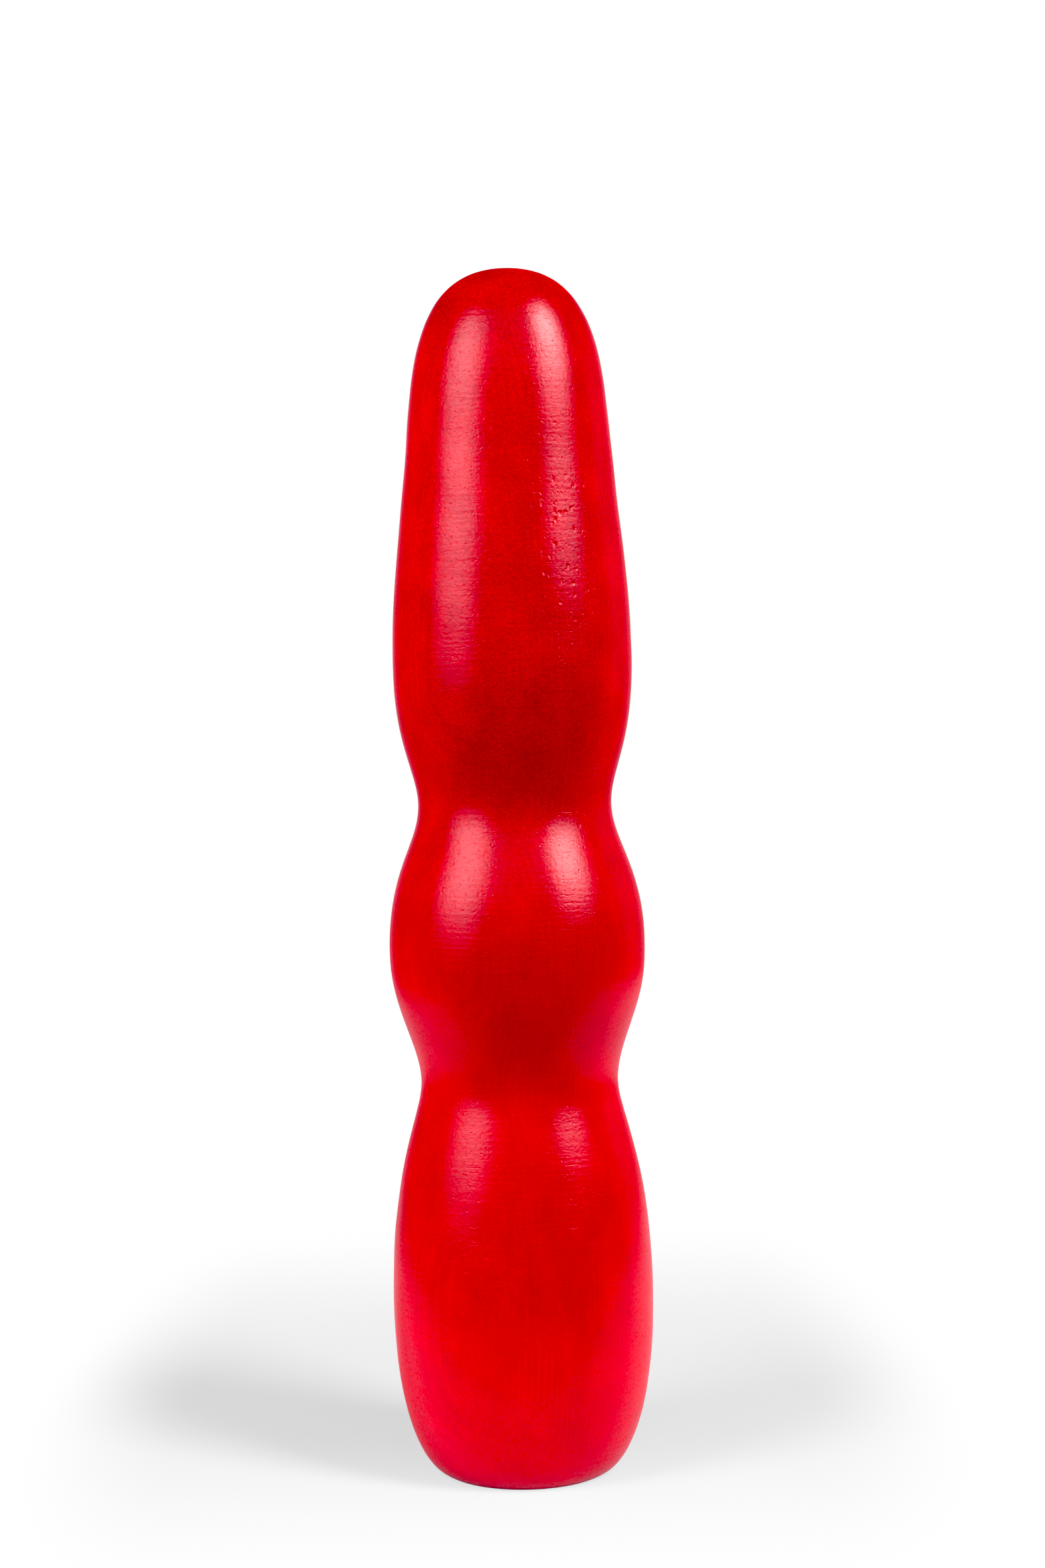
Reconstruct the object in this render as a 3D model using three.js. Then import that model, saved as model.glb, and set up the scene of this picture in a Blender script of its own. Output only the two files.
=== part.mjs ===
// Turned wooden wand: one solid of revolution with a domed tip, three soft
// swellings, two waists and a small flat foot that it stands on.
//
// Units are millimetres, +Z is up. The origin is the centre of the foot's
// underside, and the turning axis is Z.

import * as THREE from 'three';

// Driving dimensions
const HEIGHT = 200;
const FOOT_RADIUS = 13.2;
const FOOT_RISE_DEG = 18; // how steeply the outline leaves the foot's flat underside
const FOOT_REACH = 5.2; // how far it keeps that direction
const TIP_REACH = 9.1; // how far the dome stays level on each side of its top

// Places where the outline turns, from the foot upwards. `lean` is the change of
// radius for each millimetre of height there, and `below` and `above` are how far
// the outline keeps that direction on each side.
const STATIONS = [
  { z: 29.3, radius: 21.75, lean: 0, below: 16.8, above: 23.0 }, // lower swelling
  { z: 65.5, radius: 16.45, lean: 0, below: 5.4, above: 6.9 }, // lower waist
  { z: 87.7, radius: 21.3, lean: 0, below: 10.1, above: 13.5 }, // middle swelling
  { z: 112.0, radius: 16.1, lean: 0, below: 6.7, above: 5.0 }, // upper waist
  { z: 134.4, radius: 19.85, lean: 0, below: 12.1, above: 15.5 }, // upper swelling
  { z: 176.5, radius: 16.5, lean: -0.077, below: 18.1, above: 18.2 }, // shoulder
];

// Fineness of the facets
const STEPS_PER_CURVE = 8;
const SIDES = 64; // a multiple of four, so that the sides face along X and Y

const LACQUERED_WOOD = new THREE.MeshStandardMaterial({
  color: 0xd80500,
  roughness: 0.35,
  metalness: 0,
});

// A point on the outline's tangent at a station, `distance` above it.
function alongTangent(station, distance) {
  const direction = new THREE.Vector2(station.lean, 1).normalize();
  return direction.multiplyScalar(distance).add(new THREE.Vector2(station.radius, station.z));
}

// The half section, with the radius in x and the height in y. It starts and ends
// on the turning axis, so the turned solid is closed.
function halfSection() {
  const section = new THREE.Path();
  section.moveTo(0, 0);
  section.lineTo(FOOT_RADIUS, 0);

  const rise = THREE.MathUtils.degToRad(FOOT_RISE_DEG);
  let leaving = new THREE.Vector2(
    FOOT_RADIUS + FOOT_REACH * Math.cos(rise),
    FOOT_REACH * Math.sin(rise),
  );
  for (const station of STATIONS) {
    const arriving = alongTangent(station, -station.below);
    section.bezierCurveTo(leaving.x, leaving.y, arriving.x, arriving.y, station.radius, station.z);
    leaving = alongTangent(station, station.above);
  }
  section.bezierCurveTo(leaving.x, leaving.y, TIP_REACH, HEIGHT, 0, HEIGHT);
  return section.getPoints(STEPS_PER_CURVE);
}

// LatheGeometry turns its section about Y, so the body is stood up onto Z.
function turnedBody() {
  const body = new THREE.Mesh(new THREE.LatheGeometry(halfSection(), SIDES), LACQUERED_WOOD);
  body.name = 'turned_body';
  body.rotation.x = Math.PI / 2;
  return body;
}

const wand = new THREE.Group();
wand.add(turnedBody());

export default wand;
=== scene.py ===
"""A turned wooden wand in translucent red lacquer, on a white table with a softbox on each side.

Metres, +Z up, in the CAD's frame: the wand stands on Z = 0 with its turning axis on Z,
and the camera looks along +Y with +X to its right.
"""

import math

import bpy
import numpy as np
from mathutils import Euler, Matrix, Vector


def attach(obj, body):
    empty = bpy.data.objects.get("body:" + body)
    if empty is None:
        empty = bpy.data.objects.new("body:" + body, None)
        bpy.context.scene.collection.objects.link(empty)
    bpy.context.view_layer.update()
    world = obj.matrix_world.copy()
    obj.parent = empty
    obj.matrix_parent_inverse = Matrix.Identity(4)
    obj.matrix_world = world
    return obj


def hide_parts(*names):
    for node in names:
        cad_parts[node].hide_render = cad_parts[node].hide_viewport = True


MM = 0.001
BODY_NODE = "turned_body"

# Fineness of the visible mesh, and the least height between two rings of the CAD mesh
SIDES = 256
RINGS = 380
RING_GAP = 0.02 * MM

# Unevenness of the turned surface, which only ever goes inwards
WAVES = 14
WAVE_SEED = 4
WAVES_AROUND = (1, 7)
WAVE_DEPTH = 0.12 * MM
WAVE_LENGTHS = (9 * MM, 26 * MM)
WAVE_FADE = 6 * MM  # the foot's rim and the tip stay true

# Stain: the red of the wood, and how wide, tall and strong each pattern in it is
STAIN_RED = 0.59
CLOUDS = (6 * MM, 8 * MM, 0.40)
STREAKS = (0.8 * MM, 9 * MM, 0.12)
MOTTLE_SIZE = 0.42 * MM
MOTTLE_STRENGTHS = (0.3, 0.8)  # on the lower and the upper part of the wand
MOTTLE_HEIGHTS = (70 * MM, 130 * MM)
# Painted light and shade, as slow changes of the red up the wand: paler near the foot and under the middle
# swelling, where the lamps and the table light it, and darker above it and at the tip. The height where
# each begins and is full, and its strength
PAINTED_LIGHT_FOOT = (50 * MM, 15 * MM, 0.22)
PAINTED_LIGHT_WAIST = (75 * MM, 16 * MM, 4 * MM, 0.10)  # its middle, and how far from there
PAINTED_SHADE_ABOVE = (75 * MM, 105 * MM, -0.12)
PAINTED_SHADE_TIP = (182 * MM, 195 * MM, -0.16)

# Growth rings, whose centre is outside the blank, and the stretches where they show
PITH_AZIMUTH_DEG = -30
PITH_DISTANCE = 48 * MM
RING_PITCH = 0.9 * MM
RING_WANDER = (9 * MM, 60 * MM, 3 * MM)  # how wide, tall and far
RING_TINT = 0.035
RING_STRETCHES = (10 * MM, 14 * MM)

# Lacquer
SATIN = (1.5 * MM, 6 * MM, 0.2)  # the changes in the wood's roughness
WOOD_ROUGHNESS = 0.35
WOOD_METALLIC = 0.12  # the fibres' sheen
COAT_PATCHES = (0.6 * MM, 0.34 * MM, 1.8)
COAT_ROUGHNESS = 0.28
COAT_IOR = 1.5
# The coat is thin at the tip, where lights behind the wand would wash out its outline
THIN_COAT_HEIGHTS = (192 * MM, 197 * MM)
THIN_COAT = 0.08

# Relief: how wide, tall and deep its features are, and the share of places for dents that have one
TURNING_MARKS = (11 * MM, 0.95 * MM, 0.026 * MM)
SANDING_MARKS = (0.9 * MM, 0.30 * MM, 0.014 * MM)
ORANGE_PEEL = (0.48 * MM, 0.48 * MM, 0.027 * MM)
PORES = (0.50 * MM, 0.50 * MM, 0.026 * MM, 0.13)
PITS = (1.0 * MM, 1.4 * MM, 0.070 * MM, 0.34)
CREASES = (4.0 * MM, 0.30 * MM, 0.020 * MM, 0.05)
FIBRE_DEPTH = 0.0006 * MM
DENT_RAGGEDNESS = (0.6 * MM, 0.35 * MM)  # the size and length of the shifts in their outlines
RIPPLE_PITCH = 0.95 * MM  # left by the turning tool
RIPPLE_DEPTH = 0.003 * MM
RIPPLE_WANDER = (9 * MM, 6 * MM, 8.0)  # how wide, tall and far, the last in radians
RIPPLE_STRETCHES = (12 * MM, 10 * MM)
SPOT_EDGE = 0.5  # a spot's radius, as a share of its cell
SCUFF_AZIMUTH_DEG = (20, 56)
SCUFF_HEIGHT = (144 * MM, 163 * MM)
SCUFF_FADE = 4 * MM
SCUFF_FADE_DEG = 12
WORN_PATCHES = (16 * MM, 20 * MM)

# Camera
CAMERA_DISTANCE = 520 * MM
CAMERA_HEIGHT = 142 * MM
CAMERA_PITCH_DEG = 2.97  # downwards
CAMERA_YAW_DEG = 0.149  # to the right
CAMERA_ROLL_DEG = 1.02  # clockwise
LENS_MM = 72
SENSOR_MM = 36

# Table: its front edge is close, and the room in front of it is dark
TABLE_FRONT = -72 * MM
TABLE_LEFT = -200 * MM
TABLE_RIGHT = 260 * MM
TABLE_BACK = 420 * MM
TABLE_WHITE = 0.88
TABLE_SEEN = 0.38  # the camera sees it darker than it is
TABLE_GLOW = 0.51  # and adds an even glow
# The part of the table with the shadows, outside which the camera sees it fade to white
SHADOW_CENTRE = (-5 * MM, 45 * MM)
SHADOW_REACH = 50 * MM  # to each side, before the fade
SHADOW_STRETCH = (0.21, 0.3)  # how steep the fade is backwards and forwards, to 1 sideways
SHADOW_FADE = (5 * MM, 36 * MM)

# The white room as soft round patches: the direction of each, the cosines at which it begins and
# is full, and its radiance
BACKDROP = ((0.0, 1.0, 0.0), 0.72, 0.94, 0.32)
BACKDROP_MIDDLE = ((0.0, 1.0, 0.0), 0.94, 1.0, 0.5)
CEILING = ((0.0, -0.77, 0.64), 0.80, 0.95, 0.8)

# Lamps: their brightness at each height
LEFT_LIGHT = [
    (0.0, 0.4),
    (0.12, 1.4),
    (0.25, 3.0),
    (0.33, 5.0),
    (0.55, 5.8),
    (0.7, 5.0),
    (0.85, 3.1),
    (1.0, 0.6),
]
RIGHT_LIGHT = [
    (0.2, 0.3),
    (0.3, 1.8),
    (0.42, 5.5),
    (0.55, 10.5),
    (0.72, 13.5),
    (0.95, 16.0),
    (1.1, 11.0),
    (1.5, 2.0),
]
FILL_LIGHT = [(0.25, 4.3), (0.8, 4.3)]
LEFT_WALL = [(-0.5, 7.5), (0.0, 6.0), (0.4, 2.0)]
RIGHT_WALL = [(-0.3, 4.0), (0.1, 8.0), (0.5, 10.0)]
LEFT_OF_TABLE = [(0.3, 7.5), (1.2, 7.5)]
RIGHT_OF_TABLE = [(0.3, 17.0), (1.2, 17.0)]

# How far down green and blue are cut, so that the reds are deep and faint reflections crimson
GREEN_CUT = 0.06
BLUE_CUT = 0.03


# ---------------------------------------------------------------- node helpers


class Nodes:
    """Adds nodes to a shader tree. An input given as a socket is linked, anything else is set."""

    def __init__(self, tree):
        self.tree = tree

    def add(self, kind, *inputs, **settings):
        node = self.tree.nodes.new("ShaderNode" + kind)
        for name, value in settings.items():
            setattr(node, name, value)
        for socket, value in zip(node.inputs, inputs):
            self.feed(socket, value)
        return node

    def feed(self, socket, value):
        if isinstance(value, bpy.types.NodeSocket):
            self.tree.links.new(value, socket)
        elif value is not None:
            socket.default_value = value

    def math(self, operation, *inputs, clamp=False):
        return self.add("Math", *inputs, operation=operation, use_clamp=clamp).outputs[0]

    def vector(self, operation, *inputs):
        return self.add("VectorMath", *inputs, operation=operation).outputs[0]

    def length(self, vector):
        return self.add("VectorMath", vector, operation="LENGTH").outputs["Value"]

    def dot(self, one, other):
        return self.add("VectorMath", one, other, operation="DOT_PRODUCT").outputs["Value"]

    def total(self, *values):
        """The sum of several values."""
        result = values[0]
        for value in values[1:]:
            result = self.math("ADD", result, value)
        return result

    def ramp(self, value, start, end, low=0.0, high=1.0):
        """A smooth step from `low` at `start` to `high` at `end`."""
        node = self.add("MapRange", value, start, end, low, high, interpolation_type="SMOOTHSTEP")
        return node.outputs["Result"]

    def height(self, place):
        return self.add("SeparateXYZ", place).outputs["Z"]

    def grid(self, place, across, along):
        """The place counted in features that are `across` wide and `along` tall."""
        return self.vector("MULTIPLY", place, (1 / across, 1 / across, 1 / along))

    def noise(self, place, across, along, detail=2.0):
        """Soft noise around zero, from about -0.5 to 0.5."""
        texture = self.add("TexNoise", self.grid(place, across, along), None, 1.0, detail)
        return self.math("SUBTRACT", texture.outputs["Fac"], 0.5)

    def pattern(self, place, across, along, strength, detail=2.0):
        return self.math("MULTIPLY", self.noise(place, across, along, detail), strength)

    def wobble(self, place, size, distance):
        """A soft random shift of the place, about `distance` long at most."""
        texture = self.add("TexNoise", self.grid(place, size, size), None, 1.0, 1.0)
        shift = self.vector("SUBTRACT", texture.outputs["Color"], (0.5, 0.5, 0.5))
        return self.vector("MULTIPLY", shift, (2 * distance,) * 3)

    def spots(self, place, across, along, share):
        """Scattered round-sided spots, 1 in their middle, in a share of the cells they could fill."""
        cells = self.add("TexVoronoi", self.grid(place, across, along), None, 1.0)
        random = self.add("SeparateColor", cells.outputs["Color"]).outputs["Red"]
        chosen = self.math("LESS_THAN", random, share)
        return self.math("MULTIPLY", chosen, self.ramp(cells.outputs["Distance"], SPOT_EDGE, 0.0))


# ---------------------------------------------------------------- the wand's shape


def cad_profile(node):
    """The CAD solid's half section as (radius, height) rows, from the foot's rim to the tip."""
    points = np.array([v.co for v in node.data.vertices], float)
    points = points[np.argsort(points[:, 2])]
    ring_starts = np.flatnonzero(np.diff(points[:, 2]) > RING_GAP) + 1
    rings = np.split(points, ring_starts)
    return np.array([(np.hypot(ring[:, 0], ring[:, 1]).max(), ring[:, 2].mean()) for ring in rings])


def tangents(points, along):
    """Slopes of a smooth curve through the points: free at the foot, level at the tip."""
    chords = np.diff(points, axis=0) / np.diff(along)[:, None]
    before, after = np.diff(along)[:-1, None], np.diff(along)[1:, None]
    inner = (chords[:-1] * after + chords[1:] * before) / (before + after)
    first = 2 * chords[0] - inner[0]
    tip = np.array([[-1.0, 0.0]])
    return np.concatenate([[first], inner, tip])


def smooth_profile(points, count):
    """The same outline through `count` evenly spaced points."""
    steps = np.hypot(*np.diff(points, axis=0).T)
    along = np.concatenate([[0.0], np.cumsum(steps)])
    slopes = tangents(points, along)
    at = np.linspace(0.0, along[-1], count)
    before = np.clip(np.searchsorted(along, at, side="right") - 1, 0, len(points) - 2)
    after = before + 1
    span = (along[after] - along[before])[:, None]
    share = (at - along[before])[:, None] / span
    start, end = (2 * share + 1) * (1 - share) ** 2, (3 - 2 * share) * share**2
    leave, arrive = share * (1 - share) ** 2, (share - 1) * share**2
    bend = leave * slopes[before] + arrive * slopes[after]
    return start * points[before] + end * points[after] + span * bend


def unevenness(angle, height):
    """How far the turning and sanding went below the true outline, from 0 to WAVE_DEPTH."""
    random = np.random.default_rng(WAVE_SEED)
    total = np.zeros(np.broadcast(angle, height).shape)
    for _ in range(WAVES):
        around = random.integers(*WAVES_AROUND)
        along = 2 * math.pi / random.uniform(*WAVE_LENGTHS)
        total += np.cos(around * angle + along * height + random.uniform(0, 2 * math.pi))
    depth = WAVE_DEPTH * (total - total.min()) / (total.max() - total.min())
    top = height.max()
    return depth * np.clip(height / WAVE_FADE, 0, 1) * np.clip((top - height) / WAVE_FADE, 0, 1)


def turned_mesh(profile):
    """A closed mesh from the foot's centre over the rings to the tip."""
    angle = np.arange(SIDES) * 2 * math.pi / SIDES
    rings = profile[:-1]
    radius = rings[:, :1] - unevenness(angle, rings[:, 1:])
    x = radius * np.cos(angle)
    y = radius * np.sin(angle)
    z = np.repeat(rings[:, 1:], SIDES, axis=1)
    points = np.stack([x, y, z], -1).reshape(-1, 3)
    foot, tip = len(points), len(points) + 1
    points = np.concatenate([points, [[0, 0, 0], [0, 0, profile[-1, 1]]]])
    here = np.arange(SIDES)
    there = (here + 1) % SIDES
    faces = []
    for ring in range(len(rings) - 1):
        low, high = ring * SIDES, (ring + 1) * SIDES
        faces += np.stack([low + here, low + there, high + there, high + here], 1).tolist()
    top = (len(rings) - 1) * SIDES
    faces += [[foot, b, a] for a, b in zip(here.tolist(), there.tolist())]
    faces += [[top + a, top + b, tip] for a, b in zip(here.tolist(), there.tolist())]
    mesh = bpy.data.meshes.new("wand")
    mesh.from_pydata(points.tolist(), [], faces)
    mesh.shade_smooth()
    return mesh


def make_wand(node):
    profile = smooth_profile(cad_profile(node), RINGS)
    wand = bpy.data.objects.new("wand", turned_mesh(profile))
    bpy.context.scene.collection.objects.link(wand)
    wand.visible_diffuse = False  # no red glow on the table beside it
    return wand


# ---------------------------------------------------------------- the material


def growth_rings(nodes, place):
    """The blank's yearly rings, which cut the lobes in nested arcs: -1 to 1."""
    azimuth = math.radians(PITH_AZIMUTH_DEG)
    pith = (PITH_DISTANCE * math.sin(azimuth), -PITH_DISTANCE * math.cos(azimuth), 0)
    from_pith = nodes.vector("MULTIPLY", nodes.vector("SUBTRACT", place, pith), (1, 1, 0))
    distance = nodes.math("ADD", nodes.length(from_pith), nodes.pattern(place, *RING_WANDER))
    return nodes.math("SINE", nodes.math("MULTIPLY", distance, 2 * math.pi / RING_PITCH))


def within(nodes, value, low, high, fade):
    """1 from `low` to `high`, fading to 0 outside."""
    return nodes.math("MULTIPLY", nodes.ramp(value, low - fade, low), nodes.ramp(value, high + fade, high))


def scuffed(nodes, place):
    """1 inside the scuffed patch near the top and a few worn patches elsewhere, 0 outside."""
    axes = nodes.add("SeparateXYZ", place)
    azimuth = nodes.math("ARCTAN2", axes.outputs["X"], nodes.math("MULTIPLY", axes.outputs["Y"], -1.0))
    first, last = (math.radians(degrees) for degrees in SCUFF_AZIMUTH_DEG)
    soft = math.radians(SCUFF_FADE_DEG)
    sides = within(nodes, azimuth, first, last, soft)
    ends = within(nodes, axes.outputs["Z"], *SCUFF_HEIGHT, SCUFF_FADE)
    worn = nodes.ramp(nodes.noise(place, *WORN_PATCHES, detail=0.0), 0.15, 0.25)
    return nodes.math("MAXIMUM", nodes.math("MULTIPLY", sides, ends), worn)


def ripples(nodes, place):
    """The turning tool's level ripples in millimetres, which come and go."""
    turns = nodes.math("MULTIPLY", nodes.height(place), 2 * math.pi / RIPPLE_PITCH)
    wave = nodes.math("SINE", nodes.math("ADD", turns, nodes.pattern(place, *RIPPLE_WANDER)))
    comes_and_goes = nodes.noise(place, *RIPPLE_STRETCHES, detail=0.0)
    return nodes.math("MULTIPLY", wave, nodes.ramp(comes_and_goes, -0.2, 0.2, 0.0, RIPPLE_DEPTH / MM))


def surface_height(nodes, place, rings):
    """The lacquer's relief in millimetres."""

    def marks(across, along, depth):
        return nodes.pattern(place, across, along, depth / MM)

    def dents(across, along, depth, share):
        ragged = nodes.vector("ADD", place, nodes.wobble(place, *DENT_RAGGEDNESS))
        return nodes.math("MULTIPLY", nodes.spots(ragged, across, along, share), -depth / MM)

    pits = nodes.math("MULTIPLY", dents(*PITS), scuffed(nodes, place))
    fibres = nodes.math("MULTIPLY", rings, FIBRE_DEPTH / MM)
    random = nodes.total(marks(*TURNING_MARKS), marks(*SANDING_MARKS), marks(*ORANGE_PEEL))
    return nodes.total(random, dents(*PORES), dents(*CREASES), pits, fibres, ripples(nodes, place))


def stain_and_painted_shading(nodes, place, rings):
    """The wood's red, with painted light near the foot and under the middle swelling, and painted shade
    above it and at the tip.
    """
    height = nodes.height(place)
    mottle_strength = nodes.ramp(height, *MOTTLE_HEIGHTS, *MOTTLE_STRENGTHS)
    mottle = nodes.pattern(place, MOTTLE_SIZE, MOTTLE_SIZE, mottle_strength, detail=3.0)
    shown = nodes.ramp(nodes.noise(place, *RING_STRETCHES, detail=0.0), -0.1, 0.2, 0.0, RING_TINT)
    ring_tint = nodes.math("MULTIPLY", rings, shown)
    patterns = nodes.total(mottle, nodes.pattern(place, *CLOUDS), nodes.pattern(place, *STREAKS), ring_tint)

    def change(value, begins, full, strength):
        return nodes.ramp(value, begins, full, 0.0, strength)

    waist, *waist_light_ramp = PAINTED_LIGHT_WAIST
    from_waist = nodes.math("ABSOLUTE", nodes.math("SUBTRACT", height, waist))
    # painted light: the red is paler near the foot and under the middle swelling
    lower = nodes.total(change(height, *PAINTED_LIGHT_FOOT), change(from_waist, *waist_light_ramp))
    # painted shade: the red is darker above the middle swelling and at the tip
    upper = nodes.total(change(height, *PAINTED_SHADE_ABOVE), change(height, *PAINTED_SHADE_TIP))
    return nodes.math("MULTIPLY", nodes.total(1.0, patterns, lower, upper), STAIN_RED)


def lacquered_wood():
    """Clear gloss over red-stained wood, whose fibres shine a little through it."""
    material = bpy.data.materials.new("red_lacquered_wood")
    material.use_nodes = True
    nodes = Nodes(material.node_tree)
    shader = material.node_tree.nodes["Principled BSDF"]
    place = nodes.add("TexCoord").outputs["Object"]
    rings = growth_rings(nodes, place)

    red = stain_and_painted_shading(nodes, place, rings)
    nodes.feed(shader.inputs["Base Color"], nodes.add("CombineColor", red, 0.0, 0.0).outputs[0])
    roughness = nodes.math("ADD", nodes.pattern(place, *SATIN), WOOD_ROUGHNESS)
    nodes.feed(shader.inputs["Roughness"], roughness)
    shader.inputs["Metallic"].default_value = WOOD_METALLIC
    shader.inputs["Specular IOR Level"].default_value = 0.0

    patchy = nodes.math("ADD", nodes.pattern(place, *COAT_PATCHES, detail=3.0), 1.0, clamp=True)
    thinner = nodes.ramp(nodes.height(place), *THIN_COAT_HEIGHTS, 1.0, THIN_COAT)
    nodes.feed(shader.inputs["Coat Weight"], nodes.math("MULTIPLY", patchy, thinner))
    shader.inputs["Coat Roughness"].default_value = COAT_ROUGHNESS
    shader.inputs["Coat IOR"].default_value = COAT_IOR

    relief = nodes.add("Bump")
    relief.inputs["Distance"].default_value = MM
    nodes.feed(relief.inputs["Height"], surface_height(nodes, place, rings))
    nodes.feed(shader.inputs["Normal"], relief.outputs["Normal"])
    nodes.feed(shader.inputs["Coat Normal"], relief.outputs["Normal"])
    return material


# ---------------------------------------------------------------- the studio


def make_camera():
    camera = bpy.data.objects.new("camera", bpy.data.cameras.new("camera"))
    bpy.context.scene.collection.objects.link(camera)
    camera.data.lens = LENS_MM
    camera.data.sensor_width = SENSOR_MM
    camera.data.clip_start = 0.01
    level = Euler((math.radians(90 - CAMERA_PITCH_DEG), 0, math.radians(-CAMERA_YAW_DEG))).to_matrix()
    roll = Matrix.Rotation(math.radians(-CAMERA_ROLL_DEG), 3, "Z")
    camera.matrix_world = Matrix.Translation((0, -CAMERA_DISTANCE, CAMERA_HEIGHT)) @ (level @ roll).to_4x4()
    bpy.context.scene.camera = camera


def softbox(name, azimuth, distance, width, flat, profile, lit, lean=0, shows=True):
    """A panel facing the turning axis, with soft sides outside its flat share and leaning a little
    in its own plane. Azimuth 0 is towards the camera and + to its right, and the profile says how
    bright it is at each height. It lights only the group `lit`, and `shows` in its reflections."""
    low, high = profile[0][0], profile[-1][0]
    brightest = max(radiance for _, radiance in profile)
    light = bpy.data.lights.new(name, "AREA")
    light.shape = "RECTANGLE"
    light.size = width
    light.size_y = high - low
    light.energy = brightest * math.pi * light.size * light.size_y
    light.use_nodes = True
    nodes = Nodes(light.node_tree)
    panel = nodes.add("SeparateXYZ", nodes.add("NewGeometry").outputs["Parametric"])
    off_centre = nodes.math("ABSOLUTE", nodes.math("SUBTRACT", panel.outputs["X"], 0.5))
    emission = light.node_tree.nodes["Emission"]
    nodes.feed(emission.inputs["Strength"], nodes.ramp(off_centre, 0.5, 0.5 * flat))
    upwards = nodes.add("ValToRGB", panel.outputs["Y"])
    stops = upwards.color_ramp.elements
    while len(stops) < len(profile):
        stops.new(0.5)
    for stop, (height, radiance) in zip(stops, profile):
        stop.position = (height - low) / (high - low)
        stop.color = (*[radiance / brightest] * 3, 1)
    nodes.feed(emission.inputs["Color"], upwards.outputs["Color"])

    lamp = bpy.data.objects.new(name, light)
    bpy.context.scene.collection.objects.link(lamp)
    lamp.visible_camera = False
    lamp.visible_glossy = shows
    lamp.light_linking.receiver_collection = lit
    angle = math.radians(azimuth)
    out = Vector((math.sin(angle), -math.cos(angle), 0))
    lamp.location = out * distance + Vector((0, 0, (low + high) / 2))
    upright = (-out).to_track_quat("-Z", "Y").to_matrix()
    lamp.rotation_euler = (upright @ Matrix.Rotation(math.radians(lean), 3, "Z")).to_euler()


def alone(thing):
    """A group with just this thing in it, for a lamp that lights nothing else."""
    group = bpy.data.collections.new("only_" + thing.name)
    group.objects.link(thing)
    return group


def from_shadows(nodes, place):
    """How far a place on the table is from the middle of the wand's shadows, for the fade to white."""
    axes = nodes.add("SeparateXYZ", nodes.vector("SUBTRACT", place, (*SHADOW_CENTRE, 0)))
    sideways = nodes.math("SUBTRACT", nodes.math("ABSOLUTE", axes.outputs["X"]), SHADOW_REACH)
    backwards, forwards = SHADOW_STRETCH
    behind = nodes.math("MULTIPLY", axes.outputs["Y"], backwards)
    in_front = nodes.math("MULTIPLY", axes.outputs["Y"], -forwards)
    depth = nodes.math("MAXIMUM", behind, in_front)
    return nodes.length(nodes.add("CombineXYZ", nodes.math("MAXIMUM", sideways, 0.0), depth).outputs[0])


def make_table():
    """A white table that the camera sees fade to pure white away from the wand's shadows."""
    mesh = bpy.data.meshes.new("table")
    corners = [
        (TABLE_LEFT, TABLE_FRONT),
        (TABLE_RIGHT, TABLE_FRONT),
        (TABLE_RIGHT, TABLE_BACK),
        (TABLE_LEFT, TABLE_BACK),
    ]
    mesh.from_pydata([(x, y, 0) for x, y in corners], [], [(0, 1, 2, 3)])
    table = bpy.data.objects.new("table", mesh)
    bpy.context.scene.collection.objects.link(table)
    material = bpy.data.materials.new("white_table")
    material.use_nodes = True
    nodes = Nodes(material.node_tree)
    shader = material.node_tree.nodes["Principled BSDF"]
    keep = (1.0, 1.0 - GREEN_CUT, 1.0 - BLUE_CUT)
    cut = (0.0, GREEN_CUT, BLUE_CUT)
    shader.inputs["Roughness"].default_value = 1.0
    shader.inputs["Specular IOR Level"].default_value = 0.0
    distance = from_shadows(nodes, nodes.add("TexCoord").outputs["Object"])
    seen = nodes.ramp(distance, *SHADOW_FADE, TABLE_SEEN, 0.0)
    glow = nodes.ramp(distance, *SHADOW_FADE, TABLE_GLOW, 1.0)
    by_camera = nodes.add("LightPath").outputs["Is Camera Ray"]
    white = nodes.add("MapRange", by_camera, 0.0, 1.0, TABLE_WHITE, seen).outputs["Result"]
    nodes.feed(shader.inputs["Base Color"], nodes.vector("MULTIPLY", white, keep))
    glowing = nodes.add("VectorMath", glow, keep, cut, operation="MULTIPLY_ADD").outputs[0]
    nodes.feed(shader.inputs["Emission Color"], glowing)
    nodes.feed(shader.inputs["Emission Strength"], by_camera)
    table.data.materials.append(material)
    return table


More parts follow.
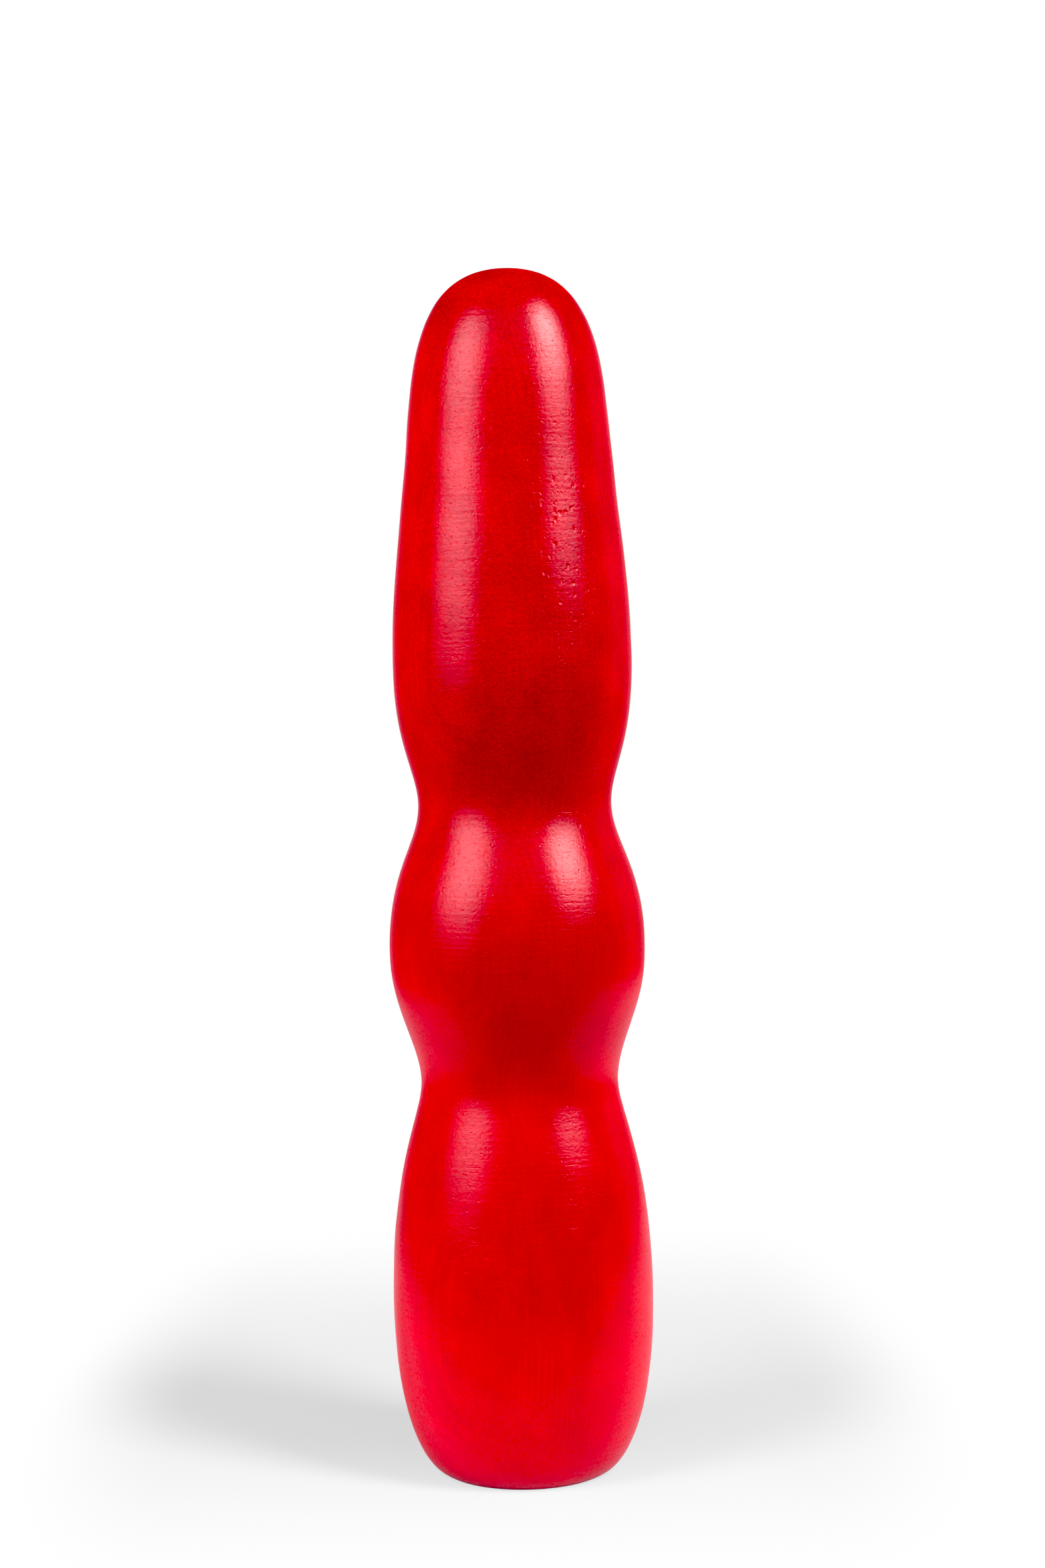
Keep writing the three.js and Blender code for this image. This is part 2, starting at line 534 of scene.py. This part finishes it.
def make_world():
    """The camera sees white all round. Everything else sees the room's soft patches."""
    world = bpy.data.worlds.new("studio")
    bpy.context.scene.world = world
    world.use_nodes = True
    nodes = Nodes(world.node_tree)
    direction = nodes.add("TexCoord").outputs["Generated"]

    def patch(centre, begins, full, radiance):
        return nodes.ramp(nodes.dot(direction, centre), begins, full, 0.0, radiance)

    seen = nodes.add("LightPath").outputs["Is Camera Ray"]
    room = nodes.total(patch(*BACKDROP), patch(*BACKDROP_MIDDLE), patch(*CEILING))
    strength = nodes.math("MAXIMUM", room, seen)
    background = world.node_tree.nodes["Background"]
    background.inputs["Color"].default_value = (1, 1, 1, 1)
    nodes.feed(background.inputs["Strength"], strength)


def set_colours():
    """A plain display, with green and blue cut a little at the dark end, so that a faint white
    reflection on the red looks crimson."""
    settings = bpy.context.scene.view_settings
    settings.view_transform = "Standard"
    settings.use_curve_mapping = True
    settings.curve_mapping.black_level = (0.0, GREEN_CUT, BLUE_CUT)
    settings.curve_mapping.update()


# ---------------------------------------------------------------- the scene

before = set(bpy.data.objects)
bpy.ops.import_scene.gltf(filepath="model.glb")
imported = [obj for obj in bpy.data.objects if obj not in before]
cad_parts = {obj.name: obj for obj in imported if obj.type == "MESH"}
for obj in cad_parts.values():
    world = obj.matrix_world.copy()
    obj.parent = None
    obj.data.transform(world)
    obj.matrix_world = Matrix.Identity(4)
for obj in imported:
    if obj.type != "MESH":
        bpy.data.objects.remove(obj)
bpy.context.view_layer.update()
wand = make_wand(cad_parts[BODY_NODE])
wand.data.materials.append(lacquered_wood())
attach(wand, "root")
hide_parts(BODY_NODE)

make_camera()
on_table, on_wand = alone(make_table()), alone(wand)
softbox("left_softbox", -55, 0.6, width=0.72, flat=0.2, profile=LEFT_LIGHT, lit=on_wand, lean=-8)
softbox("right_softbox", 61.5, 0.8, width=0.72, flat=0.3, profile=RIGHT_LIGHT, lit=on_wand, lean=-5)
softbox("left_fill", -56, 0.6, width=0.5, flat=0.5, profile=FILL_LIGHT, lit=on_wand, shows=False)
softbox("left_wall", -120, 0.7, width=0.8, flat=0.2, profile=LEFT_WALL, lit=on_wand, shows=False)
softbox("right_wall", 125, 0.7, width=0.8, flat=0.2, profile=RIGHT_WALL, lit=on_wand, shows=False)
softbox("left_of_table", -46, 0.8, width=0.6, flat=0.3, profile=LEFT_OF_TABLE, lit=on_table)
softbox("right_of_table", 48, 0.8, width=0.45, flat=0.3, profile=RIGHT_OF_TABLE, lit=on_table)
make_world()
set_colours()
